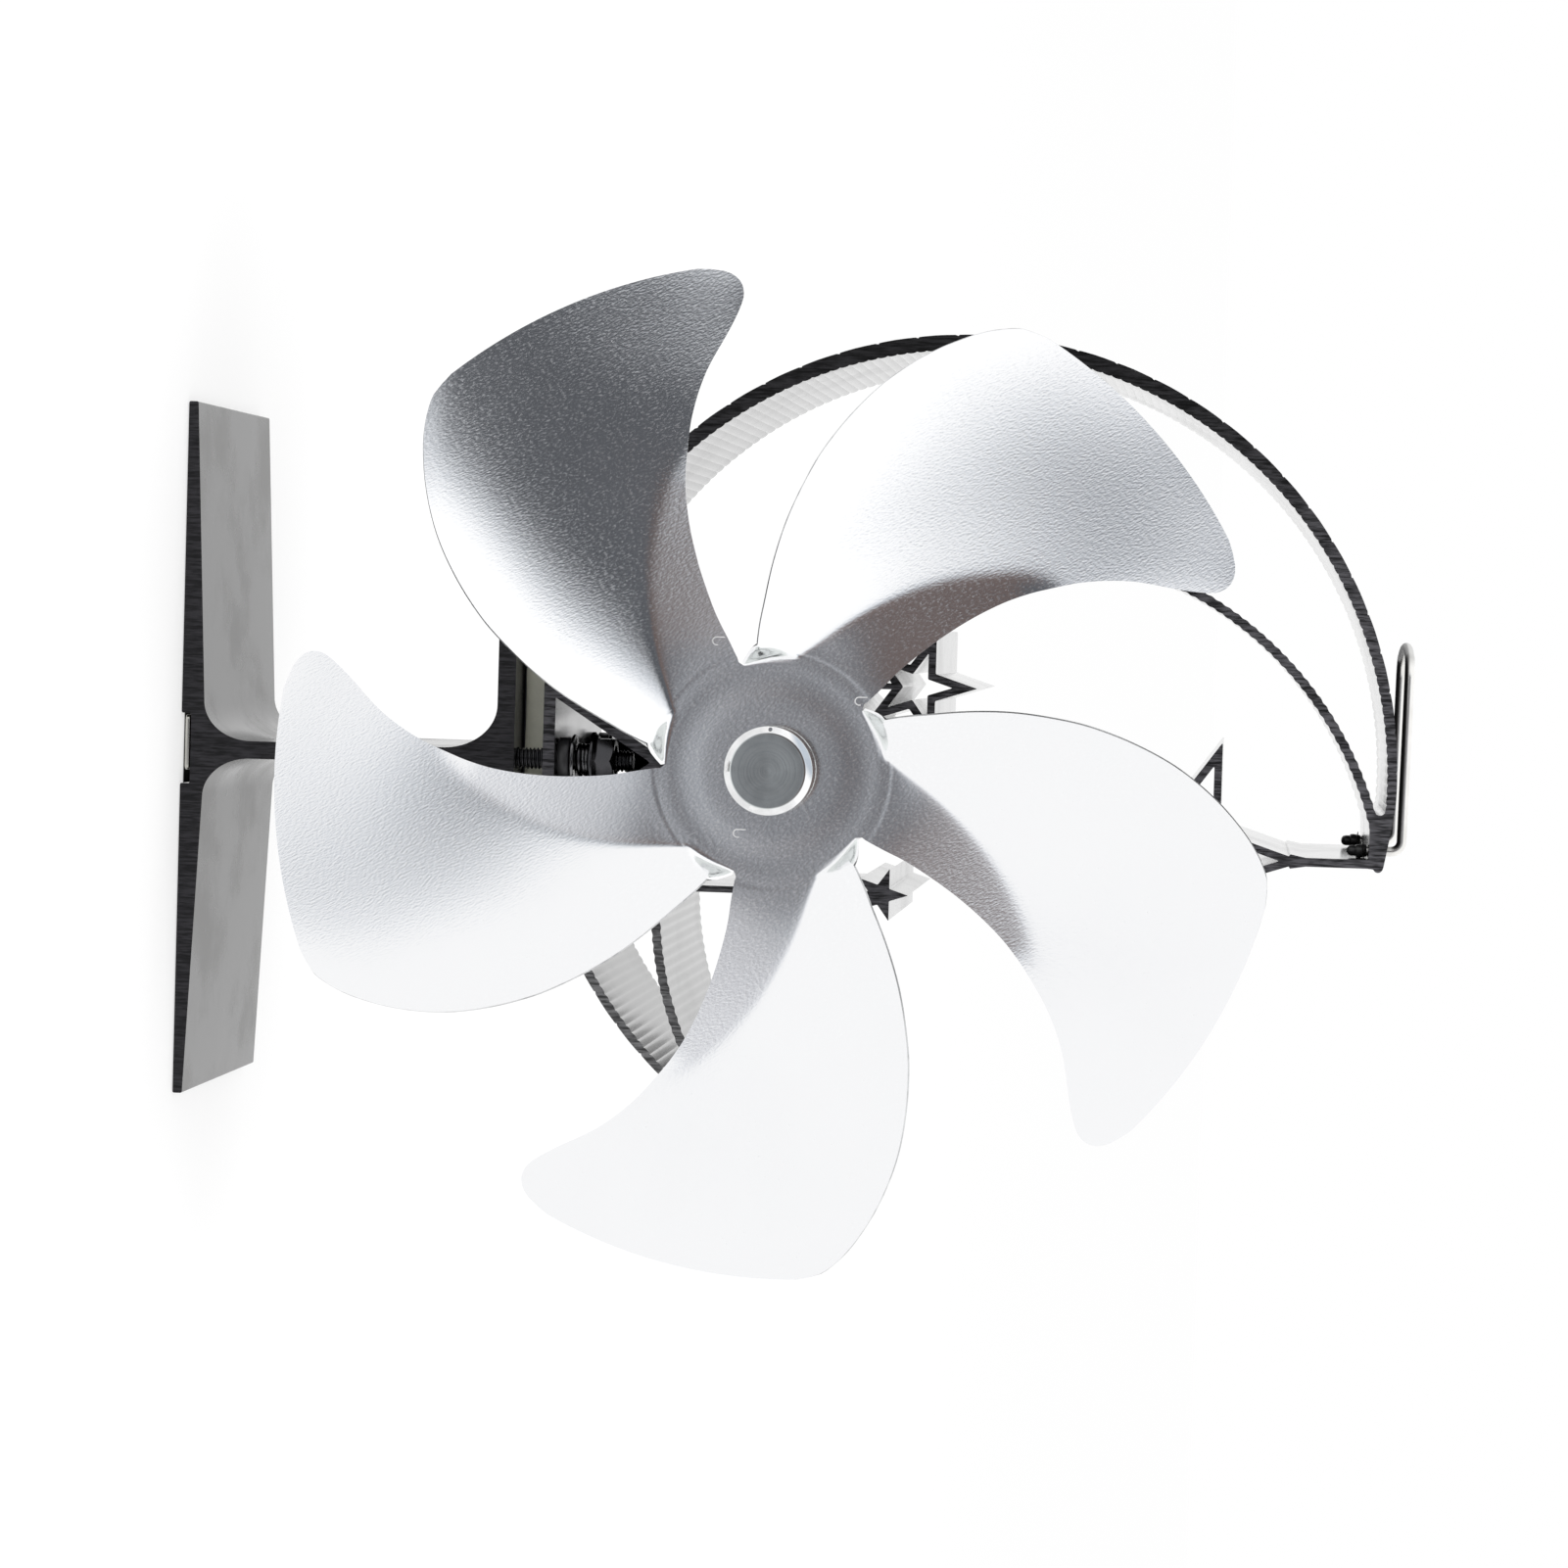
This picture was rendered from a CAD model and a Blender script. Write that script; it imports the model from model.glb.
# Stove fan with a moon and stars heat sink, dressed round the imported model.
# The photographer's camera lies on its side, so the picture's left is the fan's foot.
import math

import bmesh
import bpy
from mathutils import Matrix, Vector


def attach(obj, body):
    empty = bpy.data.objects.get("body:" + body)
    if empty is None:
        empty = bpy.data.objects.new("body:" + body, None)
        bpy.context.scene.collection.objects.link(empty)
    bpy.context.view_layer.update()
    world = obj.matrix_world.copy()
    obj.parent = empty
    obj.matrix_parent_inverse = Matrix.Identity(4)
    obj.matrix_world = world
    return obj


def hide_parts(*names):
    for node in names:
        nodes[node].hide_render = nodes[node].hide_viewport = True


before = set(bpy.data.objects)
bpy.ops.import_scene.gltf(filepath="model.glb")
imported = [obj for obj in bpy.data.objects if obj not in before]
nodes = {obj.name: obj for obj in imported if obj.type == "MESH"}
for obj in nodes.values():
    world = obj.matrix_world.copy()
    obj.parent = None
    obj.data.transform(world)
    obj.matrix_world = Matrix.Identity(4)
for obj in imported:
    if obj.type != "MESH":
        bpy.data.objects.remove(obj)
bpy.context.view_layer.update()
scene = bpy.context.scene
mm = 0.001
print("frame loaded:", len(nodes), "nodes")

rotorAxis = Vector((0.0, 0.0, 0.112))      # the motor's shaft runs along Y at this height
rotorHeight = rotorAxis.z / mm
depthMiddle = 14.35                        # the extrusions' middle, in mm from the frame's origin
sinkFront, sinkBack = -15.65, 44.35        # the sawn ends of both extrusions
discY = -34.95                             # middle of the blade sheet's disc
clampSpread = 25.0                         # from the middle to each clamp
handleX, handleSpread = 12.1, 21.5         # where the handle's two legs go into the block
bothSides = (("front", -1), ("rear", 1))


# Camera, world, lamps and floor
def makeCamera():
    view = {
        "place": (-23.95, -818.58, 193.82),
        "right": (0.99901591, -0.03035822, 0.03233551),
        "down": (0.02908558, -0.10198849, -0.99436029),
        "forward": (0.03348486, 0.99432224, -0.10100514),
        "lens": 101.65,
    }
    camera = bpy.data.objects.new("camera", bpy.data.cameras.new("camera"))
    camera.data.lens = view["lens"]
    camera.data.sensor_width = 36
    camera.data.clip_start = 0.01
    camera.data.clip_end = 100
    across = -Vector(view["down"])         # the camera is rolled a quarter turn
    up = -Vector(view["right"])
    back = -Vector(view["forward"])
    turn = Matrix((across, up, back)).transposed().to_4x4()
    camera.matrix_world = Matrix.Translation(Vector(view["place"]) * mm) @ turn
    scene.collection.objects.link(camera)
    scene.camera = camera


makeCamera()
print("camera made")


def isSocket(value):
    return hasattr(value, "is_linked")


def feed(node, name, value):
    # links a socket to the input, or sets the input's own value
    socket = node.inputs[name]
    if isSocket(value):
        node.id_data.links.new(value, socket)
    elif socket.type == "RGBA":
        socket.default_value = (*value, 1)
    else:
        socket.default_value = value


def addNode(tree, kind, inputs=None, **settings):
    made = tree.nodes.new(kind)
    for name, value in settings.items():
        setattr(made, name, value)
    for name, value in (inputs or {}).items():
        feed(made, name, value)
    return made


def noise(vector, scale, detail=3.0, roughness=0.5):
    inputs = {"Vector": vector, "Scale": scale, "Detail": detail, "Roughness": roughness}
    return addNode(vector.id_data, "ShaderNodeTexNoise", inputs).outputs["Fac"]


def mapRange(value, low, high, toLow=0.0, toHigh=1.0, kind="SMOOTHSTEP"):
    inputs = {"Value": value, "From Min": low, "From Max": high, "To Min": toLow, "To Max": toHigh}
    return addNode(value.id_data, "ShaderNodeMapRange", inputs, interpolation_type=kind).outputs["Result"]


def maths(operation, first, second=0.5):
    tree = (first if isSocket(first) else second).id_data
    return addNode(tree, "ShaderNodeMath", {0: first, 1: second}, operation=operation).outputs["Value"]


def times(first, second):
    return maths("MULTIPLY", first, second)


def plus(first, second):
    return maths("ADD", first, second)


def minus(first, second):
    return maths("SUBTRACT", first, second)


def mapped(vector, scale=(1, 1, 1), rotation=(0, 0, 0), location=(0, 0, 0)):
    inputs = {"Vector": vector, "Scale": scale, "Rotation": rotation, "Location": location}
    return addNode(vector.id_data, "ShaderNodeMapping", inputs, vector_type="POINT").outputs["Vector"]


def axes(vector):
    return addNode(vector.id_data, "ShaderNodeSeparateXYZ", {"Vector": vector}).outputs


def mixColours(factor, first, second):
    inputs = {"Factor": factor, "A": first, "B": second}
    return addNode(factor.id_data, "ShaderNodeMix", inputs, data_type="RGBA").outputs["Result"]


def multiplyColours(first, second):
    made = addNode(first.id_data, "ShaderNodeMix", data_type="RGBA", blend_type="MULTIPLY")
    for name, value in (("Factor", 1), ("A", first), ("B", second)):
        feed(made, name, value)
    return made.outputs["Result"]


def mixShaders(factor, first, second):
    return addNode(factor.id_data, "ShaderNodeMixShader", {0: factor, 1: first, 2: second}).outputs["Shader"]


def softGap(vector, gap):
    # the share of white left at a direction, which drops inside a rounded box
    names = ("azimuth", "height", "tilt", "halfWidth", "halfHeight")
    azimuth, height, tilt, wide, tall = (math.radians(gap[name]) for name in names)
    level = Vector((math.cos(azimuth), math.sin(azimuth), 0))
    ahead = Vector((math.sin(azimuth), -math.cos(azimuth), 0))
    middle = ahead * math.cos(height) + Vector((0, 0, math.sin(height)))
    upright = level.cross(middle)
    across = level * math.cos(tilt) + upright * math.sin(tilt)
    along = upright * math.cos(tilt) - level * math.sin(tilt)
    depth, side, lift = axes(mapped(vector, rotation=Matrix((middle, -across, along)).to_euler()))
    x = maths("DIVIDE", side, -math.sin(wide))
    y = maths("DIVIDE", lift, math.sin(tall))
    both = plus(*(maths("POWER", maths("ABSOLUTE", value), 4.0) for value in (x, y)))
    white = mapRange(maths("POWER", both, 0.25), 1 - gap["soft"], 1 + gap["soft"])
    return maths("MAXIMUM", white, maths("LESS_THAN", depth, 0.0)), x, y


def makeWorld():
    studio = {
        "mirrored": (1.02, 1.13),          # what metal mirrors of the white surroundings, low and high
        "backdrop": 1.16,                  # the brighter white behind the fan
        "fill": 1.0,                       # what matt surfaces get from them
        "dark": (0.106, 0.112, 0.125),     # the gap in the white round the photographer
        "warm": (0.136, 0.103, 0.096),     # the gap's warmer part
        "edge": (0.95, 0.985, 1.035),      # tint where the gap turns white
        "slope": (0.39, 0.10),
        "gap": {"azimuth": -2.8, "height": 9.7, "tilt": 6.4, "halfWidth": 15.65, "halfHeight": 21.15,
                "soft": 0.43},
        "warmMiddle": (0.42, 0.76),
        "warmReach": (0.18, 0.40, 0.58, 0.85),
    }
    world = bpy.data.worlds.new("studio")
    scene.world = world
    world.use_nodes = True
    tree = world.node_tree
    tree.nodes.clear()
    path = addNode(tree, "ShaderNodeLightPath").outputs
    where = addNode(tree, "ShaderNodeTexCoord").outputs["Generated"]
    white, *places = softGap(where, studio["gap"])
    level = plus(plus(*(times(value, slope) for value, slope in zip(places, studio["slope"]))), 1.0)
    away = [maths("POWER", maths("ABSOLUTE", minus(value, middle)), 2.0)
            for value, middle in zip(places, studio["warmMiddle"])]
    reach = maths("SQRT", plus(*away))
    near, inner, outer, far = studio["warmReach"]
    warmth = times(mapRange(reach, near, inner), mapRange(reach, outer, far, 1, 0))
    darkness = multiplyColours(mixColours(warmth, studio["dark"], studio["warm"]), level)
    _, depth, height = axes(where)
    sides = mapRange(height, -0.1, 0.4, *studio["mirrored"])
    behind = mapRange(depth, 0.3, 0.85)
    around = plus(times(sides, minus(1.0, behind)), times(behind, studio["backdrop"]))
    turning = times(times(white, minus(1.0, white)), 4.0)
    tint = mixColours(turning, (1, 1, 1), studio["edge"])
    mirrored = multiplyColours(mixColours(white, darkness, around), tint)
    backgrounds = ((1, 1, 1), studio["fill"]), (mirrored, 1.0), ((1, 1, 1), 1.0)
    matt, metal, seen = (
        addNode(tree, "ShaderNodeBackground", {"Color": colour, "Strength": strength}).outputs["Background"]
        for colour, strength in backgrounds)
    shiny = maths("MAXIMUM", path["Is Glossy Ray"], path["Is Transmission Ray"])
    surface = mixShaders(path["Is Camera Ray"], mixShaders(shiny, matt, metal), seen)
    addNode(tree, "ShaderNodeOutputWorld", {"Surface": surface})


def makeLamps():
    lamps = {
        "lampRight": ((0.9, -0.7, 0.9), 1.0, 3.0),
        "lampTop": ((-0.2, -0.1, 1.4), 1.2, 3.5),
        "lampLeft": ((-1.0, -0.6, 0.5), 1.0, 1.5),
    }
    for name, (place, width, power) in lamps.items():
        lamp = bpy.data.lights.new(name, "AREA")
        lamp.shape = "DISK"
        lamp.size = width
        lamp.energy = power
        obj = bpy.data.objects.new(name, lamp)
        aim = Vector((0, 0, 0.1)) - Vector(place)
        obj.matrix_world = Matrix.Translation(place) @ aim.to_track_quat("-Z", "Y").to_matrix().to_4x4()
        obj.visible_glossy = False         # metal mirrors the white surroundings instead
        scene.collection.objects.link(obj)


def makeMaterial(name, colour, roughness, metallic=0.0, **settings):
    # the material, its shader and its object coordinates
    material = bpy.data.materials.new(name)
    material.use_nodes = True
    shader = material.node_tree.nodes["Principled BSDF"]
    values = {"Base_Color": colour, "Roughness": roughness, "Metallic": metallic, **settings}
    for label, value in values.items():
        feed(shader, label.replace("_", " "), value)
    return material, shader, addNode(shader.id_data, "ShaderNodeTexCoord").outputs["Object"]


def makeFloor():
    look = {
        "radius": 40.0, "level": -0.0002, "white": (0.985, 0.985, 0.985), "underFoot": (0.03, 0.03, 0.03),
        "footHalf": (0.063, 0.0274), "edge": 0.001,
        "plainShare": 0.62,                # of plain white for the camera, which keeps the shadow faint
    }
    bm = bmesh.new()
    bmesh.ops.create_circle(bm, cap_ends=True, segments=96, radius=look["radius"])
    mesh = bpy.data.meshes.new("floor")
    bm.to_mesh(mesh)
    bm.free()
    floor = bpy.data.objects.new("floor", mesh)
    floor.location.z = look["level"]
    floor.visible_glossy = False           # the photographer's dark gap reaches below the floor's edge
    scene.collection.objects.link(floor)
    material, shader, vector = makeMaterial("paleFloor", look["white"], 1.0, Specular_IOR_Level=0)
    tree = shader.id_data
    x, y, _ = axes(vector)
    across = minus(maths("ABSOLUTE", x), look["footHalf"][0])
    along = minus(maths("ABSOLUTE", minus(y, depthMiddle * mm)), look["footHalf"][1])
    clear = mapRange(maths("MAXIMUM", across, along), -look["edge"], 0.0)
    feed(shader, "Base Color", mixColours(clear, look["underFoot"], look["white"]))
    seen = addNode(tree, "ShaderNodeLightPath").outputs["Is Camera Ray"]
    plain = addNode(tree, "ShaderNodeEmission").outputs["Emission"]
    surface = mixShaders(times(seen, times(clear, look["plainShare"])), shader.outputs["BSDF"], plain)
    feed(tree.nodes["Material Output"], "Surface", surface)
    mesh.materials.append(material)


makeWorld()
makeLamps()
makeFloor()
scene.view_settings.view_transform = "Standard"
print("studio made")


# Shader groups, each of which takes a vector and its named values and puts out numbers
def newGroup(name, outputs, **values):
    group = bpy.data.node_groups.new(name, "ShaderNodeTree")
    group.interface.new_socket(name="Vector", in_out="INPUT", socket_type="NodeSocketVector")
    for label, value in values.items():
        socket = group.interface.new_socket(name=label, in_out="INPUT", socket_type="NodeSocketFloat")
        socket.default_value = value
    for label in outputs:
        group.interface.new_socket(name=label, in_out="OUTPUT", socket_type="NodeSocketFloat")
    return group, addNode(group, "NodeGroupInput").outputs, addNode(group, "NodeGroupOutput")


def makeRolledGrain():
    group, into, out = newGroup("rolledGrain", ("Height", "Tone", "Glint", "Speck"))
    vector = into["Vector"]
    strokes = noise(mapped(vector, (3000, 1, 1350)), 1.0, 1.0)
    coarse = noise(mapped(vector, (1500, 1, 600)), 1.0, 2.0)
    feed(out, "Height", plus(strokes, times(coarse, 0.28)))
    feed(out, "Tone", noise(vector, 45.0))
    feed(out, "Glint", mapRange(strokes, 0.46, 0.74))
    feed(out, "Speck", mapRange(noise(vector, 4400.0, 1.0), 0.735, 0.80))
    return group


def makeSawnEnd():
    group, into, out = newGroup("sawnEnd", ("Height", "Tone"))
    lines = noise(mapped(into["Vector"], (2300, 1, 210)), 1.0, 2.0, 0.7)
    bands = noise(mapped(into["Vector"], (700, 1, 40)), 1.0, 2.0)
    feed(out, "Height", lines)
    feed(out, "Tone", plus(times(lines, 0.75), times(bands, 0.25)))
    return group


def makeStains():
    group, into, out = newGroup("stains", ("Blotch", "Speck"), Scale=60.0)
    fine = noise(into["Vector"], times(into["Scale"], 14.0), 2.0)
    feed(out, "Blotch", mapRange(noise(into["Vector"], into["Scale"], 5.0, 0.6), 0.42, 0.68))
    feed(out, "Speck", mapRange(fine, 0.66, 0.74))
    return group


def makeTurnedRings():
    group, into, out = newGroup("turnedRings", ("Height", "Tone"), Fineness=3500.0)
    x, y, z = axes(into["Vector"])
    radius = maths("SQRT", plus(times(x, x), times(z, z)))
    join = {"X": times(radius, into["Fineness"]), "Y": times(y, into["Fineness"])}
    rings = noise(addNode(group, "ShaderNodeCombineXYZ", join).outputs["Vector"], 1.0, 3.0, 0.6)
    feed(out, "Height", rings)
    feed(out, "Tone", noise(into["Vector"], 260.0, 2.0))
    return group


rolledGrain = makeRolledGrain()
sawnEnd = makeSawnEnd()
stains = makeStains()
turnedRings = makeTurnedRings()
print("shader groups made")


def placeGroup(group, vector, **values):
    return addNode(vector.id_data, "ShaderNodeGroup", {"Vector": vector, **values}, node_tree=group).outputs


def addBump(shader, height, distance, strength=1.0):
    inputs = {"Distance": distance, "Strength": strength, "Height": height}
    made = addNode(shader.id_data, "ShaderNodeBump", inputs)
    for link in shader.inputs["Normal"].links:
        feed(made, "Normal", link.from_socket)
    feed(shader, "Normal", made.outputs["Normal"])


def anodisedMaterial(name, stainScale, coat, coatRough, smooth, stained, ends, uneven, worn=0, dullAbove=0):
    # glossy drawn sides with stains, and matt sawn ends
    material, shader, vector = makeMaterial(name, (0.02, 0.02, 0.021), 0.24, Coat_Roughness=coatRough,
                                            Specular_IOR_Level=0.15)
    x, _, z = axes(vector)
    isEnd = maths("GREATER_THAN", maths("ABSOLUTE", axes(vector.node.outputs["Normal"])["Y"]), 0.9)
    isSide = minus(1.0, isEnd)
    saw = placeGroup(sawnEnd, vector)
    stain = placeGroup(stains, vector, Scale=stainScale)
    sawTone = mapRange(saw["Tone"], 0.38, 0.62)
    endColour = mixColours(sawTone, *ends)
    if worn:
        # the ends on the left are the darkest, and those on the lower right catch more light
        endColour = multiplyColours(endColour, mapRange(x, -0.078, -0.022, 0.22, 1.0))
        lit = times(mapRange(x, 0.016, 0.036), mapRange(z, 0.128, 0.108))
        lighter = mixColours(sawTone, (0.045, 0.045, 0.046), (0.20, 0.20, 0.205))
        endColour = mixColours(times(lit, worn), endColour, lighter)
    sideColour = mixColours(stain["Blotch"], (0.016, 0.016, 0.017), stained)
    feed(shader, "Base Color", mixColours(isEnd, sideColour, endColour))
    coated = times(isSide, coat)
    if dullAbove:
        # the platform's top has lost its gloss under the clamp
        coated = times(coated, mapRange(z, dullAbove, dullAbove + 0.002, 1.0, 0.3))
    feed(shader, "Coat Weight", coated)
    sideRough = mapRange(stain["Blotch"], 0, 1, smooth, smooth + uneven, "LINEAR")
    rough = addNode(shader.id_data, "ShaderNodeMix", data_type="FLOAT")
    for label, value in (("Factor", isEnd), ("A", sideRough), ("B", 0.5)):
        feed(rough, label, value)
    feed(shader, "Roughness", rough.outputs["Result"])
    addBump(shader, times(noise(mapped(vector, (2600, 12, 2600)), 1.0, 2.0), isSide), 0.000004)
    addBump(shader, times(saw["Height"], isEnd), 0.00004)
    addBump(shader, stain["Speck"], 0.00003, 0.5)
    return material


def sheetMaterial(centre):
    # rolled aluminium, whose grain leans and was pressed flatter in the dished middle
    material, shader, vector = makeMaterial("satinSheet", (0.93, 0.935, 0.945), 0.13, 1.0)
    grain = placeGroup(rolledGrain, mapped(vector, rotation=(0, math.radians(28), 0)))
    flat = mapped(vector, (1, 0, 1), location=(-centre[0], 0, -centre[2]))
    radius = addNode(shader.id_data, "ShaderNodeVectorMath", {0: flat}, operation="LENGTH").outputs["Value"]
    coarser = mapRange(radius, 0.024, 0.046, 0.55, 1.0)
    feed(shader, "Base Color", mixColours(grain["Glint"], (0.918, 0.922, 0.932), (0.946, 0.95, 0.96)))
    # the strokes and the specks scatter more, so they light up where the sheet mirrors something dark
    scatter = times(plus(times(grain["Glint"], 0.12), times(grain["Speck"], 0.22)), coarser)
    feed(shader, "Roughness", plus(mapRange(grain["Tone"], 0.3, 0.7, 0.11, 0.145), scatter))
    addBump(shader, times(grain["Height"], coarser), 0.000019)
    return material


def metalMaterial(name, colour, roughness, dull=0.85, bump=0.000006, scale=420.0, stretch=(1, 1, 1)):
    # small stains, a changing polish and a fine surface
    material, shader, vector = makeMaterial(name, colour, roughness, 1.0)
    vector = mapped(vector, stretch)
    stain = placeGroup(stains, vector, Scale=scale * 0.4)
    feed(shader, "Base Color", mixColours(stain["Blotch"], colour, tuple(c * dull for c in colour)))
    feed(shader, "Roughness", mapRange(stain["Blotch"], 0, 1, roughness * 0.85, roughness * 1.3))
    addBump(shader, noise(vector, scale * 6, 2.0), bump)
    return material


def wireMaterial():
    # a drawn wire, duller where it was bent and darker underneath from the stove's heat
    material, shader, vector = makeMaterial("polishedWire", (0.80, 0.79, 0.77), 0.17, 1.0)
    stain = placeGroup(stains, vector, Scale=90.0)
    under = mapRange(axes(vector.node.outputs["Normal"])["Z"], 0.12, -0.5)
    bent = times(mapRange(axes(vector)["X"], -0.0212, -0.0236), 0.8)
    clean = mixColours(stain["Blotch"], (0.86, 0.85, 0.83), (0.76, 0.75, 0.72))
    above = mixColours(bent, clean, (0.52, 0.52, 0.51))
    feed(shader, "Base Color", mixColours(under, above, (0.10, 0.099, 0.096)))
    feed(shader, "Roughness", mapRange(bent, 0, 1, 0.28, 0.38))
    addBump(shader, noise(mapped(vector, (60, 2400, 2400)), 1.0, 2.0), 0.000003)
    return material


def ringedMetalMaterial(name, colour, roughness, centre, fineness=3500.0, bump=0.000006, shaded=None):
    # the tool's rings run about an axis along Y
    material, shader, vector = makeMaterial(name, colour, roughness, 1.0)
    vector = mapped(vector, location=[-value for value in centre])
    rings = placeGroup(turnedRings, vector, Fineness=fineness)
    look = mixColours(mapRange(rings["Tone"], 0.35, 0.7), colour, tuple(c * 0.86 for c in colour))
    feed(shader, "Roughness", mapRange(rings["Height"], 0.3, 0.7, roughness * 0.8, roughness * 1.2))
    addBump(shader, rings["Height"], bump)
    if shaded:
        # one side of the chamfer, where the tool was lifted, is duller
        x, _, z = axes(vector)
        along = plus(times(x, shaded[0]), times(z, shaded[1]))
        look = mixColours(mapRange(along, 0.0058, 0.0070), look, (0.47, 0.52, 0.58))
    feed(shader, "Base Color", look)
    return material


def plasticMaterial(name, colour, roughness, scale=300.0, bump=0.00001, lighter=1.25):
    # moulded, pressed or fired, with a fine uneven surface
    material, shader, vector = makeMaterial(name, colour, roughness)
    stain = placeGroup(stains, vector, Scale=scale * 0.5)
    paler = tuple(min(1.0, c * lighter) for c in colour)
    feed(shader, "Base Color", mixColours(stain["Blotch"], colour, paler))
    feed(shader, "Roughness", mapRange(stain["Speck"], 0, 1, roughness, min(1.0, roughness * 1.2)))
    addBump(shader, noise(vector, scale * 5), bump)
    return material


# Finishes
motorCentre = (0, 0, rotorAxis.z)
# colour, roughness, the share of colour left in stains, the bump's depth, the grain's fineness and stretch
metals = {
    "pressedLine": ((0.88, 0.88, 0.88), 0.5, 0.85, 0.00001, 700.0),
    "cutEdge": ((0.66, 0.665, 0.67), 0.3, 0.7, 0.00001, 700.0),
    "brightSteel": ((0.66, 0.66, 0.66), 0.2),
    "blackSteel": ((0.07, 0.07, 0.075), 0.3, 0.7),
    "springSteel": ((0.13, 0.13, 0.135), 0.28, 0.75),
    "bimetalStrip": ((0.50, 0.49, 0.455), 0.3, 0.82, 0.000008, 200.0, (1, 0.1, 1)),
    "washerSteel": ((0.20, 0.20, 0.205), 0.22, 0.75),
    "pelletAlloy": ((0.32, 0.31, 0.33), 0.4),
    "motorZinc": ((0.62, 0.62, 0.62), 0.28),
    "sinteredBronze": ((0.56, 0.40, 0.20), 0.38, 0.7, 0.00001, 900.0),
    "coreSteel": ((0.38, 0.38, 0.39), 0.4, 0.8, 0.00001, 500.0, (1, 9, 1)),
    "enamelCopper": ((0.72, 0.33, 0.15), 0.3, 0.8, 0.00001, 500.0),
    "tinnedBrass": ((0.80, 0.72, 0.50), 0.3),
    "groundShaft": ((0.72, 0.72, 0.73), 0.15, 0.9, 0.000003, 300.0),
}
# colour, roughness, the grain's fineness, the bump's depth and how much paler the stains are
plastics = {
    "bushPlastic": ((0.028, 0.028, 0.03), 0.42),
    "blackRubber": ((0.018, 0.018, 0.019), 0.33),
    "whiteCeramic": ((0.80, 0.79, 0.75), 0.5, 500.0, 0.00002, 1.08),
    "graphitePad": ((0.045, 0.045, 0.05), 0.55, 600.0, 0.00002),
    "creamSealant": ((0.66, 0.66, 0.55), 0.4, 160.0, 0.00006, 1.2),
    "capPlastic": ((0.03, 0.03, 0.03), 0.45),
    "ferriteMagnet": ((0.07, 0.07, 0.075), 0.55),
    "carbonBrush": ((0.04, 0.04, 0.042), 0.6),
}
finishes = {
    "heatSinkBlack": anodisedMaterial("heatSinkBlack", 55.0, 0.44, 0.12, 0.15, (0.026, 0.026, 0.027),
                                      ((0.008, 0.008, 0.009), (0.090, 0.088, 0.097)), 0.05, 0.95),
    "footBlack": anodisedMaterial("footBlack", 42.0, 0.30, 0.22, 0.19, (0.060, 0.059, 0.056),
                                  ((0.008, 0.008, 0.009), (0.031, 0.030, 0.034)), 0.15, dullAbove=0.060),
    "satinSheet": sheetMaterial(motorCentre),
    "polishedWire": wireMaterial(),
    "turnedFace": ringedMetalMaterial("turnedFace", (0.80, 0.83, 0.815), 0.125, motorCentre, 1900.0),
    "cutChamfer": ringedMetalMaterial("cutChamfer", (0.93, 0.93, 0.93), 0.08, motorCentre, 9000.0, 0.000002,
                                      (-0.42, 0.9)),
    **{name: metalMaterial(name, *values) for name, values in metals.items()},
    **{name: plasticMaterial(name, *values) for name, values in plastics.items()},
}
print("materials made:", len(finishes))


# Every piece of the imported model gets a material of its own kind
carried = {
    "bimetalStrip": "bimetal_strip", "brightSteel": "bimetal_rivet clamp_washer_front clamp_washer_rear",
    "graphitePad": "lower_graphite_pad upper_graphite_pad", "pelletAlloy": "generator_pellets",
    "whiteCeramic": "generator_hot_plate generator_cold_plate", "creamSealant": "generator_seal",
    "sinteredBronze": "front_bush rear_bush", "ferriteMagnet": "magnet_left magnet_right",
    "coreSteel": "armature_core", "enamelCopper": "winding_1 winding_2 winding_3 commutator",
    "carbonBrush": "brush_left brush_right", "tinnedBrass": "motor_terminal_left motor_terminal_right",
    "groundShaft": "motor_shaft", "motorZinc": "motor_can", "capPlastic": "motor_end_cap",
    "turnedFace": "hub_washer hub_boss", "bushPlastic": "clamp_bush_front clamp_bush_rear",
    "blackSteel": "hub_grub_screw handle_clip_front handle_clip_rear clamp_stud_front clamp_stud_rear "
                  "clamp_nut_front clamp_nut_rear",
    "springSteel": "clamp_spring_front clamp_spring_rear", "footBlack": "base_extrusion",
    "heatSinkBlack": "heat_sink", "satinSheet": "fan_blades", "polishedWire": "handle_wire",
}
for finish, names in carried.items():
    for nodeName in names.split():
        nodes[nodeName].data.materials.clear()
        nodes[nodeName].data.materials.append(finishes[finish])


# Tools that the pieces share
lookForward = Matrix.Rotation(math.radians(90), 4, "X")      # turns a piece's own Z to the fan's front


def chain(bm, points, closed=False):
    verts = [bm.verts.new(Vector(point) * mm) for point in points]
    pairs = list(zip(verts, verts[1:]))
    if closed:
        pairs.append((verts[-1], verts[0]))
    return verts, [bm.edges.new(pair) for pair in pairs]


def spinProfile(bm, points, steps, closed):
    verts, edges = chain(bm, [(radius, 0, height) for radius, height in points], closed)
    bmesh.ops.spin(bm, geom=verts + edges, cent=(0, 0, 0), axis=(0, 0, 1), dvec=(0, 0, 0), angle=math.tau,
                   steps=steps, use_merge=True)
    bmesh.ops.remove_doubles(bm, verts=bm.verts, dist=0.000001)


def bevelEdges(bm, edges, width, segments):
    bmesh.ops.bevel(bm, geom=edges, offset=width * mm, offset_type="OFFSET", segments=segments, profile=0.5,
                    affect="EDGES", clamp_overlap=True, material=-1)


def edgeAlong(edge, axis):
    return abs((edge.verts[0].co - edge.verts[1].co).normalized()[axis])


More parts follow.
